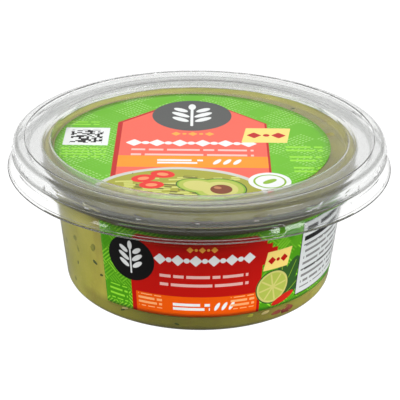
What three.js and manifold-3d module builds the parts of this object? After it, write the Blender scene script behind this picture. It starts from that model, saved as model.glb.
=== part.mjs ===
// A round, clear tub of guacamole with its clear lid on, a label round the side and a label on
// the lid. Millimetres, +Z up. The origin is the middle of the base, the front faces -Y, and
// every angle round the tub runs from the front towards +X.
import * as THREE from "three";
import { mergeVertices } from "three/addons/utils/BufferGeometryUtils.js";
import Module from "manifold-3d";

const wasm = await Module();
wasm.setup();

const DEG = Math.PI / 180;
const ARC_STEP = 46 * DEG; // largest turn between two points of a rounding
const SIDES = 60; // facets round every turned piece, alike so that nested walls stay parallel
const GAP = 0.3; // clearance between neighbouring pieces

// Tub: thin thermoformed sheet. The wall leans out from the foot, opens into a wider collar,
// turns over a hollow rim bead and ends in a flange with a hanging skirt.
const TUB_SHEET = 0.5;
const FOOT_R = 41.0; // where wall and base would meet without the rounding
const FOOT_ROUND = 2.6;
const WALL_DRAFT = 0.106; // radius gained per millimetre of height
const WALL_TOP = 34.0; // end of the straight wall
const COLLAR_R = 47.5;
const COLLAR_Z = 38.4;
const COLLAR_ROUND = 2;
const BEAD_IN_R = 47.7;
const BEAD_OUT_R = 52.4;
const BEAD_TOP = 45.6;
const BEAD_ROUND = 1.3;
const FLANGE_Z = 41.6;
const FLANGE_R = 56.4;
const FLANGE_ROUND = 1;
const SKIRT_R = 58.4;
const SKIRT_Z = 37.7;

// Lid: thin sheet with a flat panel sunk inside a wide raised border, a ring step on the
// border, a rounded shoulder and a side wall with snap lugs.
const LID_SHEET = 0.45;
const PANEL_Z = 43.0; // upper face of the sunk panel
const PANEL_R = 44.9;
const PANEL_ROUND = 0.5;
const RECESS_R = 45.4; // top of the wall round the panel
const RECESS_ROUND = 1;
const BORDER_Z = 46.5;
const RING_STEP = 0.5; // how far the ring step runs outwards as it rises
const RING_R = 53.2;
const RING_Z = 47.1;
const SHOULDER_R = 56.5;
const SHOULDER_Z = 46.2;
const SHOULDER_ROUND = 1.6;
const LID_FOOT_R = 57.0;
const LID_FOOT_Z = 42.3;
const LID_FOOT_LIP = 0.5; // height of the turned-out edge

// Snap lugs: low blocks round the lid's side wall, evenly spaced.
const LUG_COUNT = 22;
const LUG_TURN = 1.4;
const LUG_WIDTH = 3.6;
const LUG_HEIGHT = 1.6;
const LUG_PROUD = 0.5;
const LUG_Z = 43.9;

// Guacamole: fills the tub to just under the panel, with an uneven top.
const FILL_Z = 41.8;
const LUMP = 0.35;

// Labels: printed film, one round the wall with a bare window on the left, one on the panel.
const WRAP_FILM = 0.25;
const WRAP_BOTTOM = 5.8;
const WRAP_TOP = 33.4;
const WRAP_START = -39.5;
const WRAP_SPAN = 260;
const WRAP_FACETS = 48;
const DISC_FILM = 0.25;
const DISC_R = 42.2;
const DISC_X = -2.1; // stuck on a little left of the middle
const DISC_LIFT = 0.05;

const clearPlastic = {
  color: 0xf1f5f3,
  roughness: 0.08,
  metalness: 0,
  transparent: true,
  opacity: 0.35,
};

/** Wall radius of the tub's sheet, mid-thickness, on the straight part. */
function wallRadius(z) {
  return FOOT_R + WALL_DRAFT * z;
}

/** Turns corners [radius, height, rounding] into points, each rounding as an arc. */
function roundedLine(corners) {
  const at = corners.map(([r, z]) => new THREE.Vector2(r, z));
  const points = [at[0]];
  for (let i = 1; i < corners.length - 1; i++) {
    const rounding = corners[i][2];
    const back = at[i - 1].clone().sub(at[i]).normalize();
    const on = at[i + 1].clone().sub(at[i]).normalize();
    const half = Math.acos(THREE.MathUtils.clamp(back.dot(on), -1, 1)) / 2;
    if (!rounding) {
      points.push(at[i]);
      continue;
    }
    const middle = back.clone().add(on).normalize();
    const centre = at[i].clone().addScaledVector(middle, rounding / Math.sin(half));
    const start = at[i].clone().addScaledVector(back, rounding / Math.tan(half)).sub(centre);
    const end = at[i].clone().addScaledVector(on, rounding / Math.tan(half)).sub(centre);
    const turn = Math.atan2(start.cross(end), start.dot(end));
    const steps = Math.ceil(Math.abs(turn) / ARC_STEP);
    for (let k = 0; k <= steps; k++) {
      const spoke = start.clone().rotateAround(new THREE.Vector2(), (turn * k) / steps);
      points.push(spoke.add(centre));
    }
  }
  points.push(at.at(-1));
  return points;
}

/** Moves a line of points sideways; a positive distance is to its left. */
function offsetLine(points, distance) {
  return points.map((point, i) => {
    const before = points[Math.max(i - 1, 0)];
    const after = points[Math.min(i + 1, points.length - 1)];
    const into = i > 0 ? point.clone().sub(before).normalize() : after.clone().sub(point).normalize();
    const out = i < points.length - 1 ? after.clone().sub(point).normalize() : into.clone();
    const bisector = into.clone().add(out).normalize();
    const left = new THREE.Vector2(-bisector.y, bisector.x);
    return point.clone().addScaledVector(left, distance / bisector.dot(into));
  });
}

/** Profile of a bent sheet whose middle line starts on the axis and runs outwards. */
function sheetProfile(middle, thickness) {
  const under = offsetLine(middle, -thickness / 2);
  const over = offsetLine(middle, thickness / 2);
  under[0].x = 0;
  over[0].x = 0;
  return [...under, ...over.reverse()];
}

/** Revolves a profile of (radius, height) points about +Z. */
function turned(profile) {
  return new THREE.LatheGeometry(profile, SIDES).rotateX(Math.PI / 2);
}

/** A solid for the boolean joins: merged positions only, without the axis's empty triangles. */
function toSolid(geometry) {
  geometry.deleteAttribute("normal");
  geometry.deleteAttribute("uv");
  const merged = mergeVertices(geometry, 1e-4);
  const triangles = [];
  const index = merged.index.array;
  for (let i = 0; i < index.length; i += 3) {
    const [a, b, c] = [index[i], index[i + 1], index[i + 2]];
    if (a !== b && b !== c && c !== a) triangles.push(a, b, c);
  }
  return new wasm.Manifold(
    new wasm.Mesh({
      numProp: 3,
      vertProperties: new Float32Array(merged.attributes.position.array),
      triVerts: new Uint32Array(triangles),
    }),
  );
}

function toGeometry(solid) {
  const mesh = solid.getMesh();
  const geometry = new THREE.BufferGeometry();
  geometry.setAttribute("position", new THREE.BufferAttribute(mesh.vertProperties, 3));
  geometry.setIndex(new THREE.BufferAttribute(mesh.triVerts, 1));
  geometry.computeVertexNormals();
  return geometry;
}

function part(name, geometry, material) {
  const mesh = new THREE.Mesh(geometry, new THREE.MeshStandardMaterial(material));
  mesh.name = name;
  return mesh;
}

/** The tub's sheet, mid-thickness, from the middle of the base up to the top of the collar. */
function vesselCorners() {
  const base = TUB_SHEET / 2;
  return [
    [0, base, 0],
    [wallRadius(base), base, FOOT_ROUND],
    [wallRadius(WALL_TOP), WALL_TOP, COLLAR_ROUND],
    [COLLAR_R, COLLAR_Z, COLLAR_ROUND],
  ];
}

function tub() {
  const middle = roundedLine([
    ...vesselCorners(),
    [BEAD_IN_R, BEAD_TOP, BEAD_ROUND],
    [BEAD_OUT_R, BEAD_TOP, BEAD_ROUND],
    [BEAD_OUT_R, FLANGE_Z, FLANGE_ROUND],
    [FLANGE_R, FLANGE_Z, FLANGE_ROUND],
    [SKIRT_R, SKIRT_Z, 0],
  ]);
  return part("tub", turned(sheetProfile(middle, TUB_SHEET)), clearPlastic);
}

function lid() {
  const panel = PANEL_Z - LID_SHEET / 2;
  const middle = roundedLine([
    [0, panel, 0],
    [PANEL_R, panel, PANEL_ROUND],
    [RECESS_R, BORDER_Z, RECESS_ROUND],
    [RING_R - RING_STEP, BORDER_Z, 0],
    [RING_R, RING_Z, 0],
    [SHOULDER_R, SHOULDER_Z, SHOULDER_ROUND],
    [SHOULDER_R, LID_FOOT_Z + LID_FOOT_LIP, 0],
    [LID_FOOT_R, LID_FOOT_Z, 0],
  ]);
  let solid = toSolid(turned(sheetProfile(middle, LID_SHEET)));
  for (let i = 0; i < LUG_COUNT; i++) {
    solid = solid.add(toSolid(snapLug((i * 360) / LUG_COUNT + LUG_TURN)));
  }
  return part("lid", toGeometry(solid), clearPlastic);
}

/** One block that crosses the lid's side wall and stands out from it. */
function snapLug(angle) {
  const depth = LUG_PROUD + LID_SHEET;
  const block = new THREE.BoxGeometry(LUG_WIDTH, depth, LUG_HEIGHT);
  block.translate(0, -(SHOULDER_R + depth / 2 - LID_SHEET / 4), LUG_Z);
  return block.rotateZ(angle * DEG);
}

/** Height of the guacamole's uneven top above its mean level. */
function lump(x, y) {
  const broad = Math.sin(x / 7.3 + 1.1) * Math.cos(y / 6.1 - 0.6);
  const fine = Math.sin((x + y) / 3.7) * Math.cos((x - 2 * y) / 5.9);
  return LUMP * (0.7 * broad + 0.3 * fine);
}

function guacamole() {
  const vessel = roundedLine([...vesselCorners(), [COLLAR_R, FILL_Z, 0]]);
  const side = offsetLine(vessel, TUB_SHEET / 2 + GAP);
  side[0].x = 0;
  const edge = side.at(-1).x;
  const top = [0.84, 0.66, 0.44, 0.22, 0].map((share) => new THREE.Vector2(edge * share, FILL_Z));
  const geometry = turned([...side, ...top]);
  const position = geometry.attributes.position;
  for (let i = 0; i < position.count; i++) {
    if (position.getZ(i) < FILL_Z - 0.01) continue;
    position.setZ(i, FILL_Z + lump(position.getX(i), position.getY(i)));
  }
  return part("guacamole", geometry, { color: 0xa39a4f, roughness: 0.55, metalness: 0 });
}

/** Film round the wall: an arc drawn flat, pulled up, then leaned out with the wall. */
function labelWrap() {
  const inner = wallRadius(WRAP_BOTTOM) + TUB_SHEET / 2 + GAP;
  const start = (WRAP_START - 90) * DEG;
  const end = start + WRAP_SPAN * DEG;
  const outline = new THREE.Shape();
  outline.absarc(0, 0, inner + WRAP_FILM, start, end, false);
  outline.absarc(0, 0, inner, end, start, true);
  outline.closePath();
  const geometry = new THREE.ExtrudeGeometry(outline, {
    depth: WRAP_TOP - WRAP_BOTTOM,
    curveSegments: WRAP_FACETS,
    bevelEnabled: false,
  });
  const position = geometry.attributes.position;
  for (let i = 0; i < position.count; i++) {
    const [x, y, height] = [position.getX(i), position.getY(i), position.getZ(i)];
    const grown = 1 + (WALL_DRAFT * height) / Math.hypot(x, y);
    position.setXYZ(i, x * grown, y * grown, height + WRAP_BOTTOM);
  }
  return part("label_wrap", geometry, { color: 0x9c1a10, roughness: 0.35, metalness: 0 });
}

function labelTop() {
  const disc = turned([
    new THREE.Vector2(0, 0),
    new THREE.Vector2(DISC_R, 0),
    new THREE.Vector2(DISC_R, DISC_FILM),
    new THREE.Vector2(0, DISC_FILM),
  ]);
  const mesh = part("label_top", disc, { color: 0x6fc23c, roughness: 0.3, metalness: 0 });
  mesh.position.set(DISC_X, 0, PANEL_Z + DISC_LIFT);
  return mesh;
}

const group = new THREE.Group();
group.add(tub(), guacamole(), labelWrap(), lid(), labelTop());
export default group;
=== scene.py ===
import math
import random

import bmesh
import bpy
from mathutils import Matrix, Vector, noise


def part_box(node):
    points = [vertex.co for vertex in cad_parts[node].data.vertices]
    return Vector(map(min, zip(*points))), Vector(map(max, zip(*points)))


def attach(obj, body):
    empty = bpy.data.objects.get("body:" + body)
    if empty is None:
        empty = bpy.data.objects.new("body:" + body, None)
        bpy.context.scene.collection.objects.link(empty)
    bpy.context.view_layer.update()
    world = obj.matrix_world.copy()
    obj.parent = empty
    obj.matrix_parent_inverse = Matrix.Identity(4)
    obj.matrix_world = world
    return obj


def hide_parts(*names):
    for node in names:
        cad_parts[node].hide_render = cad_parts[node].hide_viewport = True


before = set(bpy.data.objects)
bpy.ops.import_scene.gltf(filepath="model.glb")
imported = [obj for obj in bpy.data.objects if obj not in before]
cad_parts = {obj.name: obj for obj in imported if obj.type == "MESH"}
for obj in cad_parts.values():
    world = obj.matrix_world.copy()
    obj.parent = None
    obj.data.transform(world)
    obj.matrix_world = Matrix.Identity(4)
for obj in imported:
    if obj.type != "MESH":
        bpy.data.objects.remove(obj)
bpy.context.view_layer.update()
MM = 0.001

# ---------------------------------------------------------------------------------------------
# Camera. A long lens looks down on the tub from the front, a little above eye level at a shelf,
# with the lens a hair out of level.
CAMERA_RISE = math.radians(25.11)
CAMERA_ROLL = math.radians(0.617)
CAMERA_DISTANCE = 432.1 * MM
CAMERA_AIM = Vector((0, 0, 23.75 * MM))
VIEW_WIDTH = 400  # in dots, as are the focal length and the shift of the view's middle
FOCAL_LENGTH = 1382.7
MIDDLE_SHIFT = 1.14

camera = bpy.data.objects.new("camera", bpy.data.cameras.new("camera"))
bpy.context.scene.collection.objects.link(camera)
bpy.context.scene.camera = camera
back_off = Vector((0, -math.cos(CAMERA_RISE), math.sin(CAMERA_RISE)))
camera.location = CAMERA_AIM + back_off * CAMERA_DISTANCE
level = (-back_off).to_track_quat("-Z", "Y").to_matrix()
camera.rotation_euler = (level @ Matrix.Rotation(CAMERA_ROLL, 3, "Z")).to_euler()
camera.data.lens = camera.data.sensor_width * (FOCAL_LENGTH / VIEW_WIDTH)
camera.data.shift_x = MIDDLE_SHIFT / VIEW_WIDTH
camera.data.clip_start = 0.01

# ---------------------------------------------------------------------------------------------
# Tub. One piece of clear plastic sheet drawn into a cup: a flat base, a wall that leans out, a
# wider collar, a hollow rim bead, and a flange with a hanging skirt. It is a bent line, rounded
# at its corners, spun round and given its thickness. Sizes are in millimetres.
SHEET = 0.5
TURN_STEPS = 480
FOOT_ROUND = 2.6
WALL_FOOT_R = 41.0
WALL_DRAFT = 0.106
WALL_TOP = 34.0
COLLAR_R = 47.5
COLLAR_Z = 38.4
BEAD_IN_R = 47.7
BEAD_OUT_R = 52.4
BEAD_TOP = 45.6
FLANGE_Z = 41.6
FLANGE_R = 56.4
CROWN_R = 57.46
CROWN_Z = 39.9
CROWN_ROUND = 14
tub_low, tub_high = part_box("tub")
SKIRT_R = tub_high.x / MM - SHEET / 2
SKIRT_Z = 37.7
SKIRT_ROW = 0.33


def wall_radius(height):
    return WALL_FOOT_R + WALL_DRAFT * height


# The cup's corners up to the collar: radius, height and rounding.
VESSEL = (
    (0, SHEET / 2, 0),
    (wall_radius(SHEET / 2), SHEET / 2, FOOT_ROUND),
    (wall_radius(WALL_TOP), WALL_TOP, 2.0),
    (COLLAR_R, COLLAR_Z, 2.0),
)


def bent_line(corners, steps=6):
    """A wire in the XZ plane through corners given as radius, height and rounding."""
    wire = bmesh.new()
    places = [Vector((radius, 0, height)) * MM for radius, height, _ in corners]
    dots = [wire.verts.new(place) for place in places]
    for here, there in zip(dots, dots[1:]):
        wire.edges.new((here, there))
    for i in range(1, len(corners) - 1):
        rounding = corners[i][2] * MM
        if rounding:
            turn = (places[i] - places[i - 1]).angle(places[i + 1] - places[i])
            bmesh.ops.bevel(
                wire,
                geom=[dots[i]],
                offset=rounding * math.tan(turn / 2),
                offset_type="OFFSET",
                affect="VERTICES",
                segments=steps,
                profile=0.5,
                material=-1,
            )
    return wire


def split_long_edges(wire, inner, low, high, longest):
    """Cuts the long edges beyond a radius and between two heights, as rows for the relief."""
    for edge in wire.edges[:]:
        cuts = math.ceil(edge.calc_length() / (longest * MM)) - 1
        beyond = all(vert.co.x >= inner * MM for vert in edge.verts)
        between = all(low * MM <= vert.co.z <= high * MM for vert in edge.verts)
        if cuts > 0 and beyond and between:
            bmesh.ops.subdivide_edges(wire, edges=[edge], cuts=cuts)


def spin_up(wire, steps):
    """Spins a wire right round the upright axis and closes its seam and pole."""
    bmesh.ops.spin(
        wire,
        geom=wire.verts[:] + wire.edges[:],
        cent=(0, 0, 0),
        axis=(0, 0, 1),
        angle=math.tau,
        steps=steps,
        use_merge=True,
    )
    bmesh.ops.remove_doubles(wire, verts=wire.verts[:], dist=1e-6)
    bmesh.ops.recalc_face_normals(wire, faces=wire.faces[:])


def finish_piece(name, shape, material, node, sheet=0.0):
    """Makes the mesh an object in place of its solid, with its sheet thickness if it has one."""
    mesh = bpy.data.meshes.new(name)
    for face in shape.faces:
        face.smooth = True
    shape.to_mesh(mesh)
    shape.free()
    mesh.materials.append(material)
    piece = bpy.data.objects.new(name, mesh)
    bpy.context.scene.collection.objects.link(piece)
    if sheet:
        skin = piece.modifiers.new("sheet", "SOLIDIFY")
        skin.thickness = sheet * MM
        skin.offset = 0
        skin.use_even_offset = True
    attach(piece, "root")
    if node:
        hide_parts(node)


def put(tree, kind, sockets=None, **settings):
    """Adds a shader node; a socket given as a value is linked, anything else is set."""
    made = tree.nodes.new("ShaderNode" + kind)
    for key, value in settings.items():
        setattr(made, key, value)
    for key, value in (sockets or {}).items():
        if isinstance(value, bpy.types.NodeSocket):
            tree.links.new(value, made.inputs[key])
        else:
            made.inputs[key].default_value = value
    return made


def calc(tree, operation, *values, clamp=False):
    made = put(tree, "Math", dict(enumerate(values)), operation=operation, use_clamp=clamp)
    return made.outputs[0]


def times(tree, product, *others):
    """Several values multiplied together."""
    for other in others:
        product = calc(tree, "MULTIPLY", product, other)
    return product


def hypotenuse(tree, sides):
    squares = [times(tree, side, side) for side in sides]
    return calc(tree, "SQRT", calc(tree, "ADD", *squares))


def spread(tree, value, low, high, to_low=0.0, to_high=1.0):
    """Maps low..high onto another range, without going past its ends."""
    ends = {"From Min": low, "From Max": high, "To Min": to_low, "To Max": to_high}
    return put(tree, "MapRange", {"Value": value} | ends).outputs[0]


def fade(tree, place, low, high, to_low=0.0, to_high=1.0):
    """Spreads a place on the object, in metres, over a range given in millimetres."""
    return spread(tree, place, low * MM, high * MM, to_low, to_high)


def blend_colours(tree, share, under, over):
    return put(tree, "Mix", {0: share, 6: under, 7: over}, data_type="RGBA").outputs[2]


def new_material(name):
    """A material with a bare Principled surface; gives the material, its tree and the surface."""
    material = bpy.data.materials.new(name)
    material.use_nodes = True
    return material, material.node_tree, material.node_tree.nodes["Principled BSDF"]


def turned_place(tree):
    """Height and distance from the upright axis of a place on the object, in metres."""
    place = put(tree, "SeparateXYZ", {0: put(tree, "TexCoord").outputs["Object"]})
    return place.outputs[2], hypotenuse(tree, place.outputs[:2])


def ripple_group():
    """The faint unevenness of formed film: slow waves and a fine tooth, as a bump height."""
    group = bpy.data.node_groups.new("Formed sheet ripple", "ShaderNodeTree")
    face = group.interface
    face.new_socket("Place", in_out="INPUT", socket_type="NodeSocketVector")
    face.new_socket("Wave scale", in_out="INPUT", socket_type="NodeSocketFloat")
    face.new_socket("Tooth scale", in_out="INPUT", socket_type="NodeSocketFloat")
    face.new_socket("Height", in_out="OUTPUT", socket_type="NodeSocketFloat")
    place, wave_scale, tooth_scale = group.nodes.new("NodeGroupInput").outputs[:3]
    out = group.nodes.new("NodeGroupOutput")
    wave = put(group, "TexNoise", {"Vector": place, "Scale": wave_scale, "Detail": 1.0})
    tooth = put(group, "TexNoise", {"Vector": place, "Scale": tooth_scale, "Detail": 2.0})
    faint = calc(group, "MULTIPLY", tooth.outputs["Fac"], 0.06)
    group.links.new(calc(group, "ADD", wave.outputs["Fac"], faint), out.inputs[0])
    return group


formed_ripple = ripple_group()


def ripple_bump(tree, wave_scale, tooth_scale, strength, distance):
    """A normal roughened by the ripple group, read in the object's own metres."""
    place = put(tree, "TexCoord").outputs["Object"]
    scales = {"Wave scale": wave_scale, "Tooth scale": tooth_scale}
    ripple = put(tree, "Group", {"Place": place} | scales, node_tree=formed_ripple).outputs[0]
    sockets = {"Height": ripple, "Strength": strength, "Distance": distance * MM}
    return put(tree, "Bump", sockets).outputs[0]


def clear_plastic(name, tint, roughness, haze, passes):
    """Clear sheet, a little hazy. Shadows and soft light pass straight through, dimmed."""
    material, tree, surface = new_material(name)
    surface.inputs["Base Color"].default_value = tint
    surface.inputs["Roughness"].default_value = roughness
    surface.inputs["IOR"].default_value = 1.5
    surface.inputs["Transmission Weight"].default_value = 1.0 - haze
    ripple = ripple_bump(tree, wave_scale=45, tooth_scale=500, strength=0.08, distance=0.2)
    tree.links.new(ripple, surface.inputs["Normal"])
    through = put(tree, "BsdfTransparent", {"Color": (passes, passes, passes, 1)})
    ray = put(tree, "LightPath")
    passing = calc(tree, "MAXIMUM", ray.outputs["Is Shadow Ray"], ray.outputs["Is Diffuse Ray"])
    pick = put(tree, "MixShader", {0: passing, 1: surface.outputs[0], 2: through.outputs[0]})
    tree.links.new(pick.outputs[0], tree.nodes["Material Output"].inputs["Surface"])
    return material, tree, surface, through


def dim_bent_rim(tree, through, rim, passes, rim_passes):
    """Lets less light past the rim, where the sheet is bent double."""
    share = calc(tree, "MULTIPLY_ADD", rim, rim_passes - passes, passes)
    tree.links.new(share, through.inputs["Color"])


# Long rounded pads pressed into the skirt: middle angle from the front, half width (degrees).
PADS = ((0, 23.6), (58.5, 10.5), (121.5, 10.5), (180, 23.6), (238.5, 10.5), (301.5, 10.5))
PAD_HALF_HEIGHT = 1.2
PAD_DEPTH = 0.28
PAD_EDGE = 0.45
PAD_Z = 39.7
FLANGE_BEND = 0.3


def angle_from_front(place):
    """Degrees round the tub from the front (-Y) towards +X."""
    return math.degrees(math.atan2(place.x, -place.y))


def press_pads(shape):
    """Pushes the pads in: each is a stadium on the skirt with a soft edge."""
    for vert in shape.verts:
        radius = vert.co.to_2d().length
        if radius < (FLANGE_R + FLANGE_BEND) * MM:
            continue
        depth = 0
        for middle, half in PADS:
            off = (angle_from_front(vert.co) - middle + 180) % 360 - 180
            along = math.radians(abs(off)) * radius / MM
            straight = math.radians(half) * radius / MM - PAD_HALF_HEIGHT
            past = math.hypot(max(along - straight, 0), vert.co.z / MM - PAD_Z) - PAD_HALF_HEIGHT
            depth = max(depth, min(1, max(0, 0.5 - past / PAD_EDGE)))
        inward = PAD_DEPTH * MM * depth / radius
        vert.co.x -= vert.co.x * inward
        vert.co.y -= vert.co.y * inward


tub_wire = bent_line(
    (
        *VESSEL,
        (BEAD_IN_R, BEAD_TOP, 1.3),
        (BEAD_OUT_R, BEAD_TOP, 1.3),
        (BEAD_OUT_R, FLANGE_Z, 1.0),
        (FLANGE_R, FLANGE_Z, 1.0),
        (CROWN_R, CROWN_Z, CROWN_ROUND),
        (SKIRT_R - 0.15, SKIRT_Z + 0.35, 0.2),
        (SKIRT_R, SKIRT_Z + 0.1, 0),
    )
)
split_long_edges(tub_wire, BEAD_OUT_R, SKIRT_Z, FLANGE_Z, SKIRT_ROW)
spin_up(tub_wire, TURN_STEPS)
press_pads(tub_wire)

TUB_TINT = (0.96, 0.965, 0.96, 1)
TUB_PASSES = 0.88
TUB_RIM_PASSES = 0.06
tub_clear, tub_tree, _, tub_through = clear_plastic(
    "tub_clear_plastic", TUB_TINT, roughness=0.08, haze=0.0, passes=TUB_PASSES
)
tub_height, tub_radius = turned_place(tub_tree)
tub_rim = times(
    tub_tree,
    fade(tub_tree, tub_radius, 50.0, 51.0),
    fade(tub_tree, tub_height, 42.2, 42.7, 1.0, 0.0),
)
dim_bent_rim(tub_tree, tub_through, tub_rim, TUB_PASSES, TUB_RIM_PASSES)
finish_piece("tub_shell", tub_wire, tub_clear, "tub", sheet=SHEET)

# The skirt's cut edge and a crease above it are frosted by the die: two fine six-sided rods
# round it, given as radius, height and half thickness.
HEM_RODS = (
    (SKIRT_R + 0.02, SKIRT_Z + 0.22, 0.17),
    (SKIRT_R - 0.33, SKIRT_Z + 1.05, 0.065),
)
HEM_TINT = (0.95, 0.95, 0.94, 1)
hem_wire = bmesh.new()
for rod_radius, rod_height, rod_reach in HEM_RODS:
    middle = Matrix.Translation(Vector((rod_radius, 0, rod_height)) * MM)
    upright = Matrix.Rotation(math.radians(90), 4, "X") @ Matrix.Rotation(math.radians(30), 4, "Z")
    bmesh.ops.create_circle(hem_wire, segments=6, radius=rod_reach * MM, matrix=middle @ upright)
spin_up(hem_wire, TURN_STEPS)
hem_frosted, *_ = clear_plastic(
    "frosted_hem_plastic", HEM_TINT, roughness=0.2, haze=0.2, passes=0.5
)
finish_piece("skirt_hem", hem_wire, hem_frosted, None)

# ---------------------------------------------------------------------------------------------
# Guacamole. Mashed avocado pressed against the wall, the base and, in places, the panel of the
# lid. Its skin lies inside the thickness of the tub's sheet, so that it shows wet through the
# wall; its top is a fine grid pushed up and down like spooned mash and flattened by the panel.
IN_SHEET = 0.1
GUAC_STEPS = 300
GUAC_RINGS = 70
PANEL_Z = 43.0
LID_SHEET = 0.45
PANEL_UNDER = PANEL_Z - LID_SHEET
PRESSED_IN = 0.04
TOP_LEVEL = 42.2
TOP_SWELL = 0.75
TOP_PULP = 0.3
SWELL_SPAN = 9
PULP_SPAN = 2.6
RECESS_R = 45.4
CHANNEL_RISE = 1.3
CHANNEL_SLOPE = 1.2
CHANNEL_SWELL = 0.15
CHANNEL_PULP = 0.08


def guac_top(x, y):
    """Height of the mash at a place: swollen into the channel round the lid's sunk panel, and
    pressed flat under the panel."""
    swell = noise.noise(Vector((x / SWELL_SPAN, y / SWELL_SPAN, 3.1)))
    pulp = noise.noise(Vector((x / PULP_SPAN, y / PULP_SPAN, 8.4)))
    radius = math.hypot(x, y)
    if radius > RECESS_R:
        share = min(1, (radius - RECESS_R) / CHANNEL_SLOPE)
        return TOP_LEVEL + CHANNEL_SWELL * swell + CHANNEL_PULP * pulp + CHANNEL_RISE * share
    return min(TOP_LEVEL + TOP_SWELL * swell + TOP_PULP * pulp, PANEL_UNDER + PRESSED_IN)


guac_corners = [(max(r - IN_SHEET, 0), z, rounding) for r, z, rounding in VESSEL]
guac_wire = bent_line((*guac_corners, (COLLAR_R - IN_SHEET, TOP_LEVEL, 0)))
rim_dot = max(guac_wire.verts, key=lambda vert: vert.co.z)
middle_dot = guac_wire.verts.new((0, 0, TOP_LEVEL * MM))
radial = guac_wire.edges.new((rim_dot, middle_dot))
bmesh.ops.subdivide_edges(guac_wire, edges=[radial], cuts=GUAC_RINGS)
spin_up(guac_wire, GUAC_STEPS)
for vert in guac_wire.verts:
    if vert.co.z > (TOP_LEVEL - 0.01) * MM:
        vert.co.z = guac_top(vert.co.x / MM, vert.co.y / MM) * MM

OLIVE = (0.39, 0.37, 0.036, 1)
PALE_PULP = (0.53, 0.485, 0.063, 1)
BROWN_PULP = (0.36, 0.255, 0.037, 1)
# Painted shade, laid on the mash where shade falls.
PAINTED_SHADE_PULP = (0.05, 0.045, 0.006, 1)
# Painted reflection: the grey veil on the mash's rim.
PAINTED_VEIL_GREY = (0.44, 0.41, 0.27, 1)


def guacamole_material():
    """Olive-green pulp, mottled, and streaked where it slid up the wall. Painted shade darkens it
    at its foot in front, under the rim and under the lid, most of all in front, and a painted
    grey veil of reflection lies on its rim at the back and sides."""
    material, tree, surface = new_material("guacamole_mash")
    place = put(tree, "TexCoord").outputs["Object"]
    smear = put(tree, "Mapping", {"Vector": place, "Scale": (1, 1, 0.22)}).outputs[0]
    streak = put(tree, "TexNoise", {"Vector": smear, "Scale": 170.0, "Detail": 3.0}).outputs["Fac"]
    cloud = put(tree, "TexNoise", {"Vector": place, "Scale": 60.0, "Detail": 2.0}).outputs["Fac"]
    pulp = put(tree, "TexNoise", {"Vector": place, "Scale": 950.0, "Detail": 3.0}).outputs["Fac"]
    height, radius = turned_place(tree)
    back = put(tree, "SeparateXYZ", {0: place}).outputs[1]
    front = fade(tree, back, -41.0, -20.0, 1.0, 0.0)
    # Painted shade: darker at the foot in front, in a band under the rim, most in front, and at
    # the top under the lid.
    foot = times(tree, fade(tree, height, 5.0, 7.5, 0.74, 0.0), front)
    rim_shade = times(
        tree,
        fade(tree, height, 32.8, 33.4),
        fade(tree, height, COLLAR_Z, COLLAR_Z + 1, 1.0, 0.0),
        calc(tree, "MULTIPLY_ADD", front, 0.55, 0.4),
    )
    lid_shade = times(
        tree,
        fade(tree, height, 42.0, 42.4),
        calc(tree, "MULTIPLY_ADD", front, 0.25, 0.12),
    )
    # Painted reflection: a pale grey veil on the mash's rim at the back and sides.
    painted_veil = times(
        tree,
        fade(tree, radius, 42.0, 44.5),
        fade(tree, height, 41.6, 42.0),
        fade(tree, back, -30.0, -5.0, 0.0, 0.3),
    )
    colour = OLIVE
    for share, over in (
        (spread(tree, cloud, 0.35, 0.65), PALE_PULP),
        (spread(tree, streak, 0.52, 0.72, 0, 0.55), BROWN_PULP),
        (spread(tree, pulp, 0.55, 0.75, 0, 0.5), PALE_PULP),
        (foot, PAINTED_SHADE_PULP),
        (rim_shade, PAINTED_SHADE_PULP),
        (lid_shade, PAINTED_SHADE_PULP),
        (painted_veil, PAINTED_VEIL_GREY),
    ):
        colour = blend_colours(tree, share, colour, over)
    tree.links.new(colour, surface.inputs["Base Color"])
    tree.links.new(spread(tree, pulp, 0.3, 0.7, 0.3, 0.5), surface.inputs["Roughness"])
    surface.inputs["Specular IOR Level"].default_value = 0.15
    bump = put(tree, "Bump", {"Height": pulp, "Strength": 0.4, "Distance": 0.25 * MM})
    tree.links.new(bump.outputs[0], surface.inputs["Normal"])
    return material


finish_piece("guacamole_mash", guac_wire, guacamole_material(), "guacamole")

# ---------------------------------------------------------------------------------------------
# Bits in the guacamole. Chopped coriander leaf, green chilli, red pepper and onion lie against
# the wall, the foot and the top. Each kind is one mesh of small, flat, uneven lumps, drawn flat
# and bent on to the skin of the mash.
BIT_SEED = 11
BIT_THICKNESS = 0.1
BIT_LIFT = 0.02
BIT_TOP_R = 44.6
bit_chance = random.Random(BIT_SEED)


def skin_radius(height):
    """Radius of the mash where it presses on the wall and on the rounding at its foot."""
    below = max(0, SHEET / 2 + FOOT_ROUND - height)
    return wall_radius(height) - IN_SHEET - FOOT_ROUND + math.sqrt(FOOT_ROUND**2 - below**2)


def on_wall_skin(degrees, height):
    """Gives the function that bends a bit drawn flat on to the wall's skin, in millimetres."""

    def bend(spot):
        swing = math.radians(degrees) + spot.x / WALL_FOOT_R
        radius = skin_radius(height + spot.y) + BIT_LIFT + spot.z
        return Vector((radius * math.sin(swing), -radius * math.cos(swing), height + spot.y))

    return bend


def on_top_skin(x, y):
    """Gives the function that lays a bit drawn flat on the top of the mash, in millimetres."""

    def lay(spot):
        across, back = x + spot.x, y + spot.y
        return Vector((across, back, guac_top(across, back) + BIT_LIFT + spot.z))

    return lay


def chance_place():
    """A place by chance on the top of the mash, or on the wall round the sides and back."""
    if bit_chance.random() < 0.4:
        radius = BIT_TOP_R * math.sqrt(bit_chance.random())
        swing = bit_chance.uniform(0, math.tau)
        return on_top_skin(radius * math.cos(swing), radius * math.sin(swing))
    return on_wall_skin(bit_chance.uniform(55, 280), bit_chance.uniform(2.8, WALL_TOP - 0.6))


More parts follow.
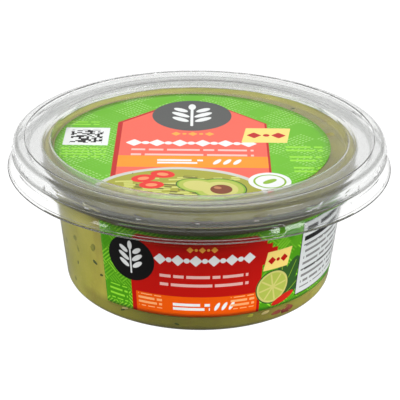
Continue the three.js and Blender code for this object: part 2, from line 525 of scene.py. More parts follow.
def add_bit(shape, place, length, width, turn):
    """One lump: a coarse ball squeezed flat, its corners pushed about, laid on the mash."""
    size = Matrix.Diagonal((length / 2, width / 2, BIT_THICKNESS / 2, 1))
    flat = Matrix.Rotation(math.radians(turn), 4, "Z") @ size
    made = bmesh.ops.create_icosphere(shape, subdivisions=2, radius=1, matrix=flat)
    for vert in made["verts"]:
        push = Vector([bit_chance.uniform(-1, 1) for _ in range(3)])
        spot = vert.co + Vector((push.x, push.y, push.z * 0.3)) * 0.1 * width
        vert.co = place(spot) * MM


def bit_material(name, colour, other):
    material, tree, surface = new_material(name)
    place = put(tree, "TexCoord").outputs["Object"]
    grain = put(tree, "TexNoise", {"Vector": place, "Scale": 500.0, "Detail": 2.0}).outputs["Fac"]
    mixed = blend_colours(tree, spread(tree, grain, 0.35, 0.65), (*colour, 1), (*other, 1))
    tree.links.new(mixed, surface.inputs["Base Color"])
    surface.inputs["Roughness"].default_value = 0.6
    surface.inputs["Specular IOR Level"].default_value = 0.1
    return material


# Each kind: how many by chance, their lengths, width over length, two colours, and the ones that
# show at the front, each as degrees from the front, height, length, width and turn.
BITS = (
    (
        "coriander_bits",
        60,
        (0.9, 2.0),
        0.6,
        ((0.03, 0.05, 0.006), (0.09, 0.13, 0.014)),
        (
            (-58.1, 13.2, 1.5, 0.7, 80),
            (-45.0, 17.4, 2.0, 1.1, 150),
            (-42.0, 13.8, 1.5, 0.8, 20),
            (-32.2, 4.2, 1.7, 0.7, 30),
            (-8.4, 2.9, 1.5, 0.7, 160),
        ),
    ),
    (
        "green_chilli_bits",
        40,
        (1.2, 2.6),
        0.6,
        ((0.24, 0.25, 0.02), (0.33, 0.33, 0.03)),
        (
            (-45.3, 22.4, 2.8, 1.8, 60),
            (-56.3, 18.6, 2.2, 1.2, 100),
            (-57.9, 21.8, 2.4, 1.6, 20),
            (-68.5, 17.2, 2.6, 1.4, 70),
            (-63.4, 5.8, 2.2, 1.4, 40),
            (21.8, 4.6, 1.9, 1.2, 15),
        ),
    ),
    (
        "red_pepper_bits",
        14,
        (1.6, 3.6),
        0.5,
        ((0.19, 0.02, 0.013), (0.27, 0.055, 0.03)),
        ((40.0, 3.0, 5.0, 3.0, 10), (34.2, 3.3, 3.6, 1.5, 4)),
    ),
    (
        "onion_bits",
        36,
        (1.4, 3.2),
        0.55,
        ((0.5, 0.4, 0.17), (0.56, 0.47, 0.16)),
        ((28.7, 4.5, 2.8, 1.0, 12), (-31.0, 5.0, 2.4, 0.9, 20)),
    ),
)
for bit_name, count, (short, long), proportion, colours, seen in BITS:
    heap = bmesh.new()
    for degrees, height, length, width, turn in seen:
        add_bit(heap, on_wall_skin(degrees, height), length, width, turn)
    for _ in range(count):
        length = bit_chance.uniform(short, long)
        turn = bit_chance.uniform(0, 360)
        add_bit(heap, chance_place(), length, length * proportion, turn)
    finish_piece(bit_name, heap, bit_material(bit_name, *colours), None)

# ---------------------------------------------------------------------------------------------
# Wrapped label. A strip of thin film round the straight wall that leaves the left side bare,
# printed and varnished to a soft gloss. It is cut flat, its corners nipped round, ruled into a
# fine grid and bent round the cone. Its print is flat fields and plain shapes.
WRAP_START = -39.5
WRAP_SPAN = 260.0
WRAP_FILM = 0.12
WRAP_LIFT = 0.03
WRAP_CREASE = 0.05
WRAP_CREASE_SPAN = (12, 9)
WRAP_CORNER = 0.5
WRAP_COLUMNS = 260
WRAP_ROWS = 20
wrap_low, wrap_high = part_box("label_wrap")
WRAP_BOTTOM = wrap_low.z / MM
WRAP_HEIGHT = wrap_high.z / MM - WRAP_BOTTOM
ARC_R = wall_radius(WRAP_BOTTOM + WRAP_HEIGHT / 2) + SHEET / 2
WRAP_LENGTH = ARC_R * math.radians(WRAP_SPAN)


def bend_round_wall(shape):
    """Takes a strip drawn flat, from 0 to its length and height, round the leaning wall."""
    for vert in shape.verts:
        angle = math.radians(WRAP_START) + vert.co.x / ARC_R
        height = WRAP_BOTTOM + vert.co.y
        across, up = vert.co.x / WRAP_CREASE_SPAN[0], vert.co.y / WRAP_CREASE_SPAN[1]
        crease = WRAP_CREASE * noise.noise(Vector((across, up, 1.7)))
        radius = wall_radius(height) + SHEET / 2 + WRAP_LIFT + WRAP_FILM / 2 + max(crease, 0)
        vert.co = Vector((radius * math.sin(angle), -radius * math.cos(angle), height)) * MM


def flat_uv(shape, width, height, low=(0, 0)):
    """Lays the film's own flat place on it as a UV map, before it is bent or moved."""
    layer = shape.loops.layers.uv.new("film")
    for face in shape.faces:
        for loop in face.loops:
            flat = loop.vert.co
            loop[layer].uv = ((flat.x - low[0]) / width, (flat.y - low[1]) / height)


wrap_shape = bmesh.new()
corners = ((0, 0), (WRAP_LENGTH, 0), (WRAP_LENGTH, WRAP_HEIGHT), (0, WRAP_HEIGHT))
wrap_shape.faces.new([wrap_shape.verts.new((x, y, 0)) for x, y in corners])
bmesh.ops.bevel(
    wrap_shape,
    geom=wrap_shape.verts[:],
    offset=WRAP_CORNER,
    offset_type="OFFSET",
    affect="VERTICES",
    segments=3,
    profile=0.5,
    material=-1,
)
for count, span, axis in ((WRAP_COLUMNS, WRAP_LENGTH, 0), (WRAP_ROWS, WRAP_HEIGHT, 1)):
    for i in range(1, count):
        cut = [0, 0, 0]
        cut[axis] = span * i / count
        normal = [0, 0, 0]
        normal[axis] = 1
        every = wrap_shape.verts[:] + wrap_shape.edges[:] + wrap_shape.faces[:]
        bmesh.ops.bisect_plane(wrap_shape, geom=every, dist=1e-5, plane_co=cut, plane_no=normal)
flat_uv(wrap_shape, WRAP_LENGTH, WRAP_HEIGHT)
bend_round_wall(wrap_shape)

# The printer's shapes. Each is a node group that gives one shape's mask on the film, with its
# place, size and turn in millimetres and radians.
PRINT_EDGE = 0.09
CHANCE_STRIDE = 57.31
PLACE_SOCKETS = ("X", "Y", "Middle X", "Middle Y", "Width", "Height", "Turn")


def print_group(name, more, draw):
    """Makes the group: turns a place on the film to the shape's own axes and draws its mask."""
    group = bpy.data.node_groups.new(name, "ShaderNodeTree")
    for label in (*PLACE_SOCKETS, *more):
        group.interface.new_socket(label, in_out="INPUT", socket_type="NodeSocketFloat")
    group.interface.new_socket("Mask", in_out="OUTPUT", socket_type="NodeSocketFloat")
    into = group.nodes.new("NodeGroupInput")
    out = group.nodes.new("NodeGroupOutput")
    given = {socket.name: socket for socket in into.outputs if socket.name}
    across = calc(group, "SUBTRACT", given["X"], given["Middle X"])
    up = calc(group, "SUBTRACT", given["Y"], given["Middle Y"])
    cosine = calc(group, "COSINE", given["Turn"])
    sine = calc(group, "SINE", given["Turn"])
    along = calc(group, "MULTIPLY_ADD", across, cosine, times(group, up, sine))
    above = calc(group, "SUBTRACT", times(group, up, cosine), times(group, across, sine))
    group.links.new(draw(group, along, above, given), out.inputs[0])
    return group


def inked(tree, past):
    """Turns a distance past a shape's edge into its mask."""
    return calc(tree, "MULTIPLY_ADD", past, -1 / PRINT_EDGE, 0.5, clamp=True)


def draw_block(tree, along, above, given):
    """A rectangle with round corners, pushed over by its slant."""
    slid = calc(tree, "SUBTRACT", along, times(tree, given["Slant"], above))
    past = []
    for place, size in ((slid, given["Width"]), (above, given["Height"])):
        reach = calc(tree, "MULTIPLY_ADD", size, -0.5, given["Corner"])
        past.append(calc(tree, "ADD", calc(tree, "ABSOLUTE", place), reach))
    outside = hypotenuse(tree, [calc(tree, "MAXIMUM", one, 0.0) for one in past])
    inside = calc(tree, "MINIMUM", calc(tree, "MAXIMUM", *past), 0.0)
    reach = calc(tree, "ADD", outside, inside)
    return inked(tree, calc(tree, "SUBTRACT", reach, given["Corner"]))


def draw_oval(tree, along, above, given):
    """An ellipse."""
    sides = ((along, given["Width"]), (above, given["Height"]))
    length = hypotenuse(tree, [calc(tree, "DIVIDE", place, size) for place, size in sides])
    narrow = calc(tree, "MINIMUM", given["Width"], given["Height"])
    return inked(tree, times(tree, calc(tree, "SUBTRACT", length, 0.5), narrow))


def chance_of(tree, row, column):
    """A number from 0 to 1 by chance for each cell."""
    number = calc(tree, "MULTIPLY_ADD", row, CHANCE_STRIDE, column)
    return put(tree, "TexWhiteNoise", {"W": number}, noise_dimensions="1D").outputs["Value"]


def within(tree, place, size):
    """1 where a place from the middle lies within a size, else 0."""
    return calc(tree, "LESS_THAN", calc(tree, "ABSOLUTE", place), times(tree, size, 0.5))


def draw_marks(tree, along, above, given):
    """A rectangle ruled into cells, some inked by chance: rows of dashes, checks or stripes."""
    column = calc(tree, "FLOOR", calc(tree, "DIVIDE", along, given["Cell width"]))
    level = calc(tree, "DIVIDE", above, given["Cell height"])
    row = calc(tree, "FLOOR", level)
    chosen = calc(tree, "LESS_THAN", chance_of(tree, row, column), given["Share"])
    off_middle = calc(tree, "SUBTRACT", calc(tree, "SUBTRACT", level, row), 0.5)
    thick = within(tree, off_middle, given["Fill"])
    wide = within(tree, along, given["Width"])
    tall = within(tree, above, given["Height"])
    return times(tree, times(tree, chosen, thick), times(tree, wide, tall))


BLOCK = print_group("Printed block", ("Corner", "Slant"), draw_block)
OVAL = print_group("Printed oval", (), draw_oval)
MARKS = print_group("Printed marks", ("Cell width", "Cell height", "Fill", "Share"), draw_marks)
STROKE_HALF = 0.22
DASH_SHARE = 0.6


class Printing:
    """A film's print as it is laid down: each field or shape goes over what is there."""

    def __init__(self, name, width, height, ground):
        self.material, self.tree, self.surface = new_material(name)
        flat = put(self.tree, "TexCoord").outputs["UV"]
        to_middle = {"Location": (-width / 2, -height / 2, 0), "Scale": (width, height, 1)}
        placed = put(self.tree, "Mapping", {"Vector": flat} | to_middle).outputs[0]
        apart = put(self.tree, "SeparateXYZ", {0: placed})
        self.x, self.y = apart.outputs[0], apart.outputs[1]
        self.colour = (*ground, 1)

    def lay(self, mask, colour):
        self.colour = blend_colours(self.tree, mask, self.colour, (*colour, 1))

    def shape(self, group, middle, size, colour, turn=0.0, **more):
        sockets = {"X": self.x, "Y": self.y, "Middle X": middle[0], "Middle Y": middle[1]}
        sockets |= {"Width": size[0], "Height": size[1], "Turn": math.radians(turn)}
        sockets |= {key.capitalize().replace("_", " "): value for key, value in more.items()}
        self.lay(put(self.tree, "Group", sockets, node_tree=group).outputs[0], colour)

    def block(self, middle, size, colour, **more):
        self.shape(BLOCK, middle, size, colour, **more)

    def oval(self, middle, size, colour, turn=0.0):
        self.shape(OVAL, middle, size, colour, turn=turn)

    def marks(self, middle, size, colour, cell, fill=1.0, share=0.5, turn=0.0):
        cells = {"cell_width": cell[0], "cell_height": cell[1], "fill": fill, "share": share}
        self.shape(MARKS, middle, size, colour, turn=turn, **cells)

    def weave(self, cell, strands, colour, share, dashes=0):
        """A basket weave of slanting strokes or dashes, inked more strongly in some squares."""
        tree = self.tree
        slants = []
        for how in ("ADD", "SUBTRACT"):
            both = calc(tree, how, self.x, self.y)
            slants.append(calc(tree, "DIVIDE", both, cell * math.sqrt(2)))
        squares = [calc(tree, "FLOOR", one) for one in slants]
        parity = calc(tree, "FRACT", times(tree, calc(tree, "ADD", *squares), 0.5))
        odd = calc(tree, "GREATER_THAN", parity, 0.25)
        lines = []
        for across, along in (slants, slants[::-1]):
            strand = calc(tree, "FRACT", times(tree, across, float(strands)))
            off_middle = calc(tree, "ABSOLUTE", calc(tree, "SUBTRACT", strand, 0.5))
            stroke = calc(tree, "LESS_THAN", off_middle, STROKE_HALF)
            if dashes:
                step = calc(tree, "FRACT", times(tree, along, float(dashes)))
                stroke = times(tree, stroke, calc(tree, "LESS_THAN", step, DASH_SHARE))
            lines.append(stroke)
        chosen = put(tree, "Mix", {0: odd, 2: lines[0], 3: lines[1]}, data_type="FLOAT").outputs[0]
        chance = chance_of(tree, squares[1], squares[0])
        strength = times(tree, spread(tree, chance, 0.1, 0.6), share)
        self.lay(times(tree, chosen, strength), colour)

    def varnish(self, roughness, gloss):
        """Links the finished print and gives the film its gloss and its faint ripple."""
        self.tree.links.new(self.colour, self.surface.inputs["Base Color"])
        self.surface.inputs["Roughness"].default_value = roughness
        self.surface.inputs["Specular IOR Level"].default_value = gloss
        ripple = ripple_bump(
            self.tree, wave_scale=120, tooth_scale=1500, strength=0.25, distance=0.12
        )
        self.tree.links.new(ripple, self.surface.inputs["Normal"])
        return self.material


GREEN = (0.07, 0.32, 0.008)
LIGHT_GREEN = (0.3, 0.72, 0.04)
RED = (0.5, 0.008, 0.005)
ORANGE = (0.84, 0.1, 0.003)
PEACH = (0.95, 0.42, 0.16)
PINK = (0.8, 0.45, 0.4)
BLACK = (0.006, 0.006, 0.006)
GREY = (0.22, 0.22, 0.22)
WHITE = (0.82, 0.84, 0.83)
DULL_WHITE = (0.66, 0.685, 0.68)
CREAM = (0.95, 0.72, 0.2)
GOLD = (0.9, 0.4, 0.06)
RIND = (0.03, 0.1, 0.02)
SKIN_GREEN = (0.25, 0.45, 0.03)
FLESH = (0.42, 0.5, 0.08)
PALE_FLESH = (0.6, 0.58, 0.17)
CHILLI_RED = (0.6, 0.02, 0.01)


def sprig(film, middle, size, colour):
    """A plain stem with paired leaves."""
    x, y = middle
    film.block((x, y - size * 0.1), (size * 0.06, size), colour, corner=size * 0.03)
    for level, long in ((-0.32, 0.42), (-0.05, 0.46), (0.22, 0.36)):
        for side in (-1, 1):
            at = (x + side * size * 0.24, y + size * (level + 0.1))
            film.oval(at, (size * long, size * 0.17), colour, turn=side * 38)
    film.oval((x, y + size * 0.5), (size * 0.34, size * 0.16), colour, turn=90)


def bead_row(film, middle, count, pitch, size, colour):
    """A row of lozenges with a bead between each two."""
    x, y = middle
    for i in range(count):
        at = (x + (i - (count - 1) / 2) * pitch, y)
        if i % 2:
            film.oval(at, (size * 0.45, size * 0.45), colour)
        else:
            film.block(at, (size * 0.72, size * 0.72), colour, turn=45, corner=size * 0.08)


def clipped_panel(film, middle, size, clip, colour):
    """A panel with its two upper corners cut off slanting."""
    (x, y), (width, height) = middle, size
    film.block((x, y - clip / 2), (width, height - clip), colour)
    film.block((x, y + (height - clip) / 2), (width - 2 * clip, clip), colour)
    for side in (-1, 1):
        at = (x + side * (width / 2 - clip), y + height / 2 - clip)
        film.block(at, (clip * math.sqrt(2), clip * math.sqrt(2)), colour, turn=45)


def lime_wheel(film, middle, size):
    """A round slice of lime: rind, pith, flesh, and the pith between its segments."""
    for reach, colour in ((1.0, RIND), (0.93, PALE_FLESH), (0.82, FLESH)):
        film.oval(middle, (size * reach, size * reach), colour)
    for spoke in range(4):
        film.block(middle, (size * 0.8, size * 0.05), PALE_FLESH, turn=12 + 45 * spoke)


def on_strip(degrees, height):
    """Flat place on the strip, from its middle, of an angle from the front and a height."""
    along = ARC_R * math.radians(degrees - WRAP_START - WRAP_SPAN / 2)
    return along, height - WRAP_BOTTOM - WRAP_HEIGHT / 2


BACK_PANEL = 170.0
BACK_STARTS = 132.5
# Leaves behind the lime: length, width, turn, and place as an angle and a height.
LEAVES = (
    (13, 5.4, 66, (38.4, 15.6)),
    (11, 4.6, 38, (39.6, 10.8)),
    (9, 4, 96, (34.6, 16.5)),
)


def print_front_panel(film):
    """Red panel on an orange foot, with a badge at its left and a tag, lime and leaves right."""
    clipped_panel(film, on_strip(-0.8, 18.45), (39.2, 27.9), 2.6, RED)
    for step in range(3):
        at = on_strip(24.9 + 2.4 * step, 26.2 - 0.8 * step)
        film.block(at, (2.1, 8.6 - 1.6 * step), RED)
    film.block(on_strip(-0.5, 9.0), (36.8, 7.6), ORANGE)
    bead_row(film, on_strip(1.5, 28.9), 5, 1.7, 2.0, GOLD)
    bead_row(film, on_strip(2.5, 25.2), 11, 2.55, 3.7, WHITE)
    film.marks(on_strip(2.5, 18.2), (26, 5.8), PINK, cell=(0.75, 2.9), fill=0.34, share=0.8)
    film.marks(on_strip(-2.5, 9.3), (11, 2.4), WHITE, cell=(1.3, 2.4), fill=0.8, share=0.85)
    for drop in range(3):
        film.oval(on_strip(7.6 + drop * 2.9, 9.4), (3.0, 1.1), WHITE, turn=62)
    for side in (-1, 1):
        at = on_strip(side * 18.4 - 0.6, 10.2)
        film.marks(at, (7.4, 4.4), PEACH, cell=(0.7, 1.5), fill=0.5, share=0.8)
    film.oval(on_strip(-26.3, 23.5), (14.7, 14.7), BLACK)
    sprig(film, on_strip(-26.3, 23.7), 8.6, WHITE)
    small_print = on_strip(-33, 10.5)
    film.block(small_print, (7.2, 6.2), GREEN)
    film.marks(small_print, (6.4, 5.2), LIGHT_GREEN, cell=(0.7, 1.7), fill=0.4, share=0.8)
    for length, width, turn, at in LEAVES:
        film.oval(on_strip(*at), (length, width), RIND, turn=turn)
        film.block(on_strip(*at), (length * 0.8, 0.25), SKIN_GREEN, turn=turn)
    lime_wheel(film, on_strip(30.6, 13.4), 11.6)
    film.oval(on_strip(36.2, 8.2), (8.6, 2.5), CHILLI_RED, turn=18)
    film.block(on_strip(31.8, 22.7), (8.4, 6.2), CREAM, corner=0.2, slant=0.18)
    bead_row(film, on_strip(31.8, 22.7), 3, 2.1, 2.6, RED)


def paint_rim_shade(film):
    """Painted shade: the film darkened towards its upper edge in the middle of the front, under
    the rim.
    """
    tree = film.tree
    upper = spread(tree, film.y, on_strip(0, 27.5)[1], on_strip(0, 32.6)[1], 0.0, 0.62)
    off_front = calc(tree, "ABSOLUTE", calc(tree, "SUBTRACT", film.x, on_strip(-2, 0)[0]))
    film.lay(times(tree, upper, spread(tree, off_front, 6.0, 28.0, 1.0, 0.0)), BLACK)


def print_wrap():
    """The front panel, the same again round the back, a ruled table and a striped block."""
    film = Printing("wrap_print", WRAP_LENGTH, WRAP_HEIGHT, GREEN)
    straight = film.x
    past = calc(film.tree, "GREATER_THAN", straight, on_strip(BACK_STARTS, 0)[0])
    film.x = calc(film.tree, "MULTIPLY_ADD", past, -ARC_R * math.radians(BACK_PANEL), straight)
    film.weave(3.8, 4, LIGHT_GREEN, 0.9)
    print_front_panel(film)
    film.x = straight
    # Painted shade of the rim on the film's upper edge in front.
    paint_rim_shade(film)
    x, y = on_strip(69, 19.8)
    film.block((x, y), (39.6, 25.0), BLACK)
    film.block((x, y), (39.0, 24.4), DULL_WHITE)
    film.marks((x - 3, y + 8.2), (31, 6.4), BLACK, cell=(1.25, 3.2), fill=0.5, share=0.8)
    film.marks((x, y - 3.2), (36, 14.7), GREY, cell=(0.8, 2.1), fill=0.42, share=0.82)
    for rule in (4.4, -4.2):
        film.block((x, y + rule), (37, 0.35), BLACK)
    stripes = on_strip(115.5, 19.5)
    film.block(stripes, (23, 16), WHITE, corner=0.4)
    film.marks(stripes, (19, 12), BLACK, cell=(0.45, 60), share=0.5)
    return film.varnish(0.35, 0.08)


finish_piece("wrap_label", wrap_shape, print_wrap(), "label_wrap", sheet=WRAP_FILM)

# ---------------------------------------------------------------------------------------------
# Lid. Clear sheet with a panel sunk inside a broad border, a ring step, a rounded shoulder and a
# side wall with snap lugs, which sit over the tub's rim bead and stop on its flange. It is spun
# up as the tub is. Its tint is darker at its shoulder and its foot, a painted shade where they
# bend the light away.
LUG_COUNT = 22
LID_STEPS = LUG_COUNT * 20
LID_ROW = 0.18
LUG_TURN = 1.4
LUG_HALF_WIDTH = 2.5
LUG_HALF_HEIGHT = 0.75
LUG_PROUD = 0.4
LUG_EDGE = 0.5
LUG_SOFT_EDGE = 1.3
LUG_END_FROM = 1.2
LUG_Z = 43.9
FLAT_TO_R = 44.0
PANEL_R = 44.9
BORDER_Z = 46.5
RING_R = 53.2
RING_Z = 47.1
SHOULDER_R = 56.5
SHOULDER_Z = 46.2
SHOULDER_BEND = 0.3
LID_FOOT_Z = 42.3


def push_lugs(shape):
    """Swells the side wall at each lug, steeply at the lug's ends and softly above and below."""
    for vert in shape.verts:
        radius = vert.co.to_2d().length
        if radius < (SHOULDER_R - SHOULDER_BEND) * MM:
            continue
        pitch = 360 / LUG_COUNT
        off = (angle_from_front(vert.co) - LUG_TURN + pitch / 2) % pitch - pitch / 2
        aside = abs(math.radians(off) * radius / MM)
        along = (aside - LUG_HALF_WIDTH) / LUG_EDGE
        slope = LUG_EDGE if aside > LUG_END_FROM else LUG_SOFT_EDGE
        up = (abs(vert.co.z / MM - LUG_Z) - LUG_HALF_HEIGHT) / slope
        swell = 1 + LUG_PROUD * MM / radius * min(1, max(0, 0.5 - max(along, up)))
        vert.co.x *= swell
        vert.co.y *= swell


panel_middle = PANEL_Z - LID_SHEET / 2
lid_wire = bent_line(
    (
        (0, panel_middle, 0),
        (FLAT_TO_R, panel_middle, 0),
        (PANEL_R, panel_middle, 0.5),
        (RECESS_R, BORDER_Z, 1.0),
        (RING_R - 0.5, BORDER_Z, 0.25),
        (RING_R, RING_Z, 0.25),
        (SHOULDER_R, SHOULDER_Z, 1.6),
        (SHOULDER_R, LID_FOOT_Z + 0.5, 0.3),
        (SHOULDER_R + 0.5, LID_FOOT_Z, 0),
    )
)
split_long_edges(lid_wire, FLAT_TO_R, LID_FOOT_Z, SHOULDER_Z, LID_ROW)
spin_up(lid_wire, LID_STEPS)
push_lugs(lid_wire)


def near_ring(tree, ring_radius, ring_height, reach):
    """1 on a ring round the piece, 0 from a reach away; the ring is given in millimetres."""
    height, radius = turned_place(tree)
    out = calc(tree, "SUBTRACT", radius, ring_radius * MM)
    up = calc(tree, "SUBTRACT", height, ring_height * MM)
    return fade(tree, hypotenuse(tree, (out, up)), 0.35 * reach, reach, 1.0, 0.0)


LID_TINT = (0.965, 0.97, 0.965, 1)
LID_PAINTED_SHADE_TINT = (0.58, 0.585, 0.575, 1)
LID_PASSES = 0.86
LID_RIM_PASSES = 0.62
lid_clear, lid_tree, lid_surface, lid_through = clear_plastic(
    "lid_clear_plastic", LID_TINT, roughness=0.08, haze=0.02, passes=LID_PASSES
)
lid_rim = fade(lid_tree, turned_place(lid_tree)[1], 48.9, 49.9)
dim_bent_rim(lid_tree, lid_through, lid_rim, LID_PASSES, LID_RIM_PASSES)
# Painted shade: the tint darkens round the shoulder and the foot.
painted_edge_shade = calc(
    lid_tree,
    "MAXIMUM",
    near_ring(lid_tree, SHOULDER_R + 0.4, LID_FOOT_Z + 0.3, 1.1),
    near_ring(lid_tree, SHOULDER_R - 0.8, SHOULDER_Z + 0.1, 0.9),
)
lid_tint = blend_colours(lid_tree, painted_edge_shade, LID_TINT, LID_PAINTED_SHADE_TINT)
lid_tree.links.new(lid_tint, lid_surface.inputs["Base Color"])
finish_piece("lid_shell", lid_wire, lid_clear, "lid", sheet=LID_SHEET)

# ---------------------------------------------------------------------------------------------
# Disc label. A round of the same film stuck on the sunk panel, a little left of the middle. It
# is printed as the wrapped label is, with a plate of dip at its foot.
disc_low, disc_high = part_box("label_top")
DISC_R = (disc_high.y - disc_low.y) / 2 / MM
DISC_MIDDLE = (disc_low + disc_high) / 2 / MM
DISC_FILM = 0.12
DISC_LIFT = 0.04
DISC_CREASE = 0.05
DISC_CREASE_SPAN = 11
DISC_LOWEST = 0.08
DISC_RINGS = 16
DISC_STEPS = 220
disc_shape = bmesh.new()
disc_line = [disc_shape.verts.new((radius, 0, 0)) for radius in (0, DISC_R)]
disc_spoke = disc_shape.edges.new(disc_line)
bmesh.ops.subdivide_edges(disc_shape, edges=[disc_spoke], cuts=DISC_RINGS)
spin_up(disc_shape, DISC_STEPS)
flat_uv(disc_shape, 2 * DISC_R, 2 * DISC_R, (-DISC_R, -DISC_R))
for vert in disc_shape.verts:
    crease = DISC_CREASE * noise.noise(vert.co / DISC_CREASE_SPAN)
    rise = PANEL_Z + max(crease + DISC_LIFT + DISC_FILM / 2, DISC_LOWEST)
    vert.co = Vector((vert.co.x + DISC_MIDDLE.x, vert.co.y, rise)) * MM

LEAF_GREEN = (0.14, 0.48, 0.012)
PALE_GREEN = (0.38, 0.7, 0.16)
CORAL = (0.86, 0.13, 0.085)
PALE_CORAL = (0.95, 0.55, 0.5)
CHARCOAL = (0.085, 0.088, 0.085)
BRIGHT_ORANGE = (0.92, 0.3, 0.01)
STONE = (0.2, 0.05, 0.015)
STONE_SHINE = (0.5, 0.2, 0.08)
PLATE = (0.6, 0.6, 0.56)
DIP = (0.36, 0.36, 0.04)
PALE_DIP = (0.6, 0.62, 0.16)
DARK_DIP = (0.16, 0.15, 0.03)
CHILLI_RING = (0.75, 0.03, 0.02)
CHILLI_HEART = (0.9, 0.28, 0.12)
CHILLI_SLICES = (((-14, -27), 20), ((-8.5, -24), -12), ((-11.5, -31.5), 4))


def avocado_half(film, middle, length, turn):
    """A halved avocado, cut face out: skin, two greens of flesh, and its stone."""
    x, y = middle
    swing = Matrix.Rotation(math.radians(turn), 2)
    blunt, slim, stone = (swing @ Vector((along * length, 0)) for along in (-0.13, 0.17, -0.15))
    layers = ((1.0, RIND), (0.95, SKIN_GREEN), (0.88, FLESH), (0.68, PALE_FLESH))
    for reach, colour in layers:
        for off, wide, tall in ((blunt, 0.74, 0.7), (slim, 0.66, 0.46)):
            size = (wide * length * reach, tall * length * reach)
            film.oval((x + off.x, y + off.y), size, colour, turn=turn)
    film.oval((x + stone.x, y + stone.y), (0.3 * length, 0.3 * length), STONE)
    shine = (x + stone.x - 0.05 * length, y + stone.y + 0.05 * length)
    film.oval(shine, (0.11 * length, 0.08 * length), STONE_SHINE, turn=turn)


def print_disc():
    """A coral panel with an oval, a tag and titles, codes at the sides, and a plate of dip."""
    film = Printing("disc_print", 2 * DISC_R, 2 * DISC_R, LEAF_GREEN)
    film.weave(6.0, 5, PALE_GREEN, 0.8, dashes=4)
    clipped_panel(film, (-0.2, -6), (47, 68), 12, RED)
    clipped_panel(film, (0.2, -6), (44.8, 67), 11.4, CORAL)
    film.block((0.2, -14.6), (44.8, 8.4), BRIGHT_ORANGE)
    film.oval((-0.4, 22.6), (25.4, 26.0), CHARCOAL)
    sprig(film, (-0.4, 22.4), 15, WHITE)
    bead_row(film, (0, 7.0), 5, 2.6, 3.0, GOLD)
    bead_row(film, (-0.4, -0.4), 11, 3.5, 5.2, WHITE)
    film.marks((0, -7.6), (37, 7.6), PALE_CORAL, cell=(1.1, 3.8), fill=0.34, share=0.8)
    film.marks((-3.6, -14.6), (13.6, 3.2), WHITE, cell=(1.7, 3.2), fill=0.8, share=0.85)
    for drop in range(3):
        film.oval((7.4 + drop * 3, -14.6), (4.4, 1.6), WHITE, turn=62)
    film.block((22.8, 6.4), (14, 11.6), CREAM, corner=0.3, slant=0.14)
    bead_row(film, (22.8, 6.4), 3, 3.8, 4.6, RED)
    film.block((-32.8, 4.2), (13.8, 14), WHITE, corner=0.3)
    film.marks((-32.8, 4.2), (10, 10.4), BLACK, cell=(0.8, 0.8), share=0.5)
    film.marks((-33, -8.6), (14, 8.4), LIGHT_GREEN, cell=(0.9, 2.1), fill=0.45, share=0.8)
    film.marks((-35, 15), (11, 4.2), LIGHT_GREEN, cell=(0.9, 2.1), fill=0.45, share=0.8)
    for row in (-4, -11.6, -19.6):
        size = (12 + row * 0.2, 5.2)
        film.marks((34, row), size, LIGHT_GREEN, cell=(1.0, 2.6), fill=0.5, share=0.85)
    film.oval((-3.5, -37), (50, 36.4), PLATE)
    film.oval((-3.5, -37.6), (47.6, 34.4), DIP)
    film.marks((-3.5, -33.5), (36, 15), PALE_DIP, cell=(2.6, 1.3), fill=0.75, share=0.5, turn=6)
    film.marks((-3.5, -32.5), (30, 16), DARK_DIP, cell=(2.1, 1.5), fill=0.6, share=0.2, turn=-8)
    avocado_half(film, (5.5, -33), 21, 160)
    for at, turn in CHILLI_SLICES:
        film.oval(at, (7.2, 5.2), CHILLI_RING, turn=turn)
        film.oval(at, (3.4, 2.2), CHILLI_HEART, turn=turn)
    film.marks((-3, -39.4), (24, 2.6), PALE_GREEN, cell=(1.2, 2.6), fill=0.6, share=0.75)
    for size, colour in ((12.4, WHITE), (9.6, SKIN_GREEN), (8.4, WHITE)):
        film.oval((22.5, -28.3), (size, size), colour)
    film.oval((22.5, -28.3), (5, 2.2), SKIN_GREEN, turn=40)
    return film.varnish(0.25, 0.4)


finish_piece("disc_label", disc_shape, print_disc(), "label_top", sheet=DISC_FILM)

# ---------------------------------------------------------------------------------------------
# Floor. A white table far wider than the view. It glows plain white to the camera and through the
# clear plastic. In the plastic's mirror its glow is dimmer close to the tub, a painted shadow of
# the tub on the table.
FLOOR_HALF = 4
FLOOR_DROP = 0.03
THROUGH_PLASTIC = 1.05
floor_shape = bmesh.new()
bmesh.ops.create_grid(floor_shape, x_segments=1, y_segments=1, size=FLOOR_HALF)
floor_mesh = bpy.data.meshes.new("floor")
drop = (0, 0, tub_low.z - FLOOR_DROP * MM)
bmesh.ops.translate(floor_shape, verts=floor_shape.verts[:], vec=drop)
floor_shape.to_mesh(floor_mesh)
floor_shape.free()
floor = bpy.data.objects.new("floor", floor_mesh)
bpy.context.scene.collection.objects.link(floor)
floor_material, floor_tree, floor_surface = new_material("white_table")
floor_surface.inputs["Base Color"].default_value = (0.1, 0.1, 0.1, 1)
floor_surface.inputs["Roughness"].default_value = 0.8
floor_surface.inputs["Specular IOR Level"].default_value = 0.0
floor_surface.inputs["Emission Color"].default_value = (1, 1, 1, 1)
floor_place = put(floor_tree, "TexCoord").outputs["Object"]
from_tub = put(floor_tree, "VectorMath", {0: floor_place}, operation="LENGTH").outputs["Value"]
ray = put(floor_tree, "LightPath")
# Painted shadow: in the plastic's mirror the table glows dimmer close to the tub.
mirrored = times(
    floor_tree, ray.outputs["Is Glossy Ray"], fade(floor_tree, from_tub, 50, 150, 0.18, 0.8)
)
through = times(floor_tree, ray.outputs["Is Transmission Ray"], THROUGH_PLASTIC)
lit = calc(floor_tree, "MAXIMUM", through, mirrored)
lit = calc(floor_tree, "MAXIMUM", ray.outputs["Is Camera Ray"], lit)
floor_tree.links.new(lit, floor_surface.inputs["Emission Strength"])
floor_mesh.materials.append(floor_material)

# ---------------------------------------------------------------------------------------------
# Light. Three broad soft lights, from the front and both sides, which the plastic doesn't
# mirror, and two small windows that it does, as streaks on the skirt. Places are in metres.
TUB_MIDDLE = (0, 0, 0.02)
RIM_MIDDLE = (0, 0, 0.04)


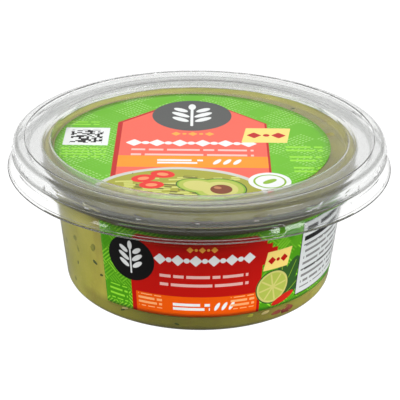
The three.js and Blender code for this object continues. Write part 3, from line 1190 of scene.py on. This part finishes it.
def soft_light(name, place, aim, size, watts, mirrored=False):
    """A square of light; the plastic mirrors it only if it is said to be mirrored."""
    lamp = bpy.data.lights.new(name, "AREA")
    lamp.shape = "RECTANGLE"
    lamp.size, lamp.size_y = size
    lamp.energy = watts
    holder = bpy.data.objects.new(name, lamp)
    holder.location = place
    holder.rotation_euler = (Vector(aim) - Vector(place)).to_track_quat("-Z", "Y").to_euler()
    holder.visible_glossy = mirrored
    holder.visible_transmission = mirrored
    bpy.context.scene.collection.objects.link(holder)


RIGHT_WINDOW = (0.949, -0.728, 0.508)
LEFT_WINDOW = (-1.027, -0.642, 0.472)
soft_light("front_light", (0, -0.82, 0.95), TUB_MIDDLE, (1.0, 0.5), 10.6)
soft_light("right_light", (1.1, -0.45, 0.4), TUB_MIDDLE, (0.8, 0.5), 13)
soft_light("left_light", (-1.1, -0.45, 0.4), TUB_MIDDLE, (0.8, 0.5), 10)
soft_light("right_window", RIGHT_WINDOW, RIM_MIDDLE, (0.44, 0.15), 1.15, mirrored=True)
soft_light("left_window", LEFT_WINDOW, RIM_MIDDLE, (0.2, 0.1), 0.22, mirrored=True)

# ---------------------------------------------------------------------------------------------
# Studio. What the plastic mirrors and lets through beyond the table: a bright low wall that dims
# towards the front, a dim room that is lighter behind, and a bright ceiling high in front. The
# camera sees plain white.
world = bpy.data.worlds.new("studio")
bpy.context.scene.world = world
world.use_nodes = True
studio = world.node_tree
way = put(studio, "SeparateXYZ", {0: put(studio, "TexCoord").outputs["Generated"]})
backward, upward = way.outputs[1], way.outputs[2]
low_wall = times(
    studio,
    spread(studio, upward, 0.22, 0.38, 0.8, 0.0),
    spread(studio, backward, -0.95, -0.6, 0.3, 1.0),
)
room = spread(studio, backward, -0.6, 0.6, 0.06, 0.5)
ceiling = times(
    studio,
    spread(studio, upward, 0.7, 0.8),
    spread(studio, backward, -0.5, -0.15, 1.1, 0.0),
)
to_camera = put(studio, "LightPath").outputs["Is Camera Ray"]
glow = low_wall
for part in (room, ceiling, to_camera):
    glow = calc(studio, "MAXIMUM", glow, part)
studio.links.new(glow, studio.nodes["Background"].inputs["Strength"])
studio.nodes["Background"].inputs["Color"].default_value = (1, 1, 1, 1)

# Enough bounces to see the mash and the table through two layers of clear sheet.
cycles = bpy.context.scene.cycles
cycles.caustics_reflective = False
cycles.caustics_refractive = False
cycles.max_bounces = 24
cycles.transmission_bounces = 20
cycles.transparent_max_bounces = 24
cycles.glossy_bounces = 8
bpy.context.scene.view_settings.view_transform = "Standard"
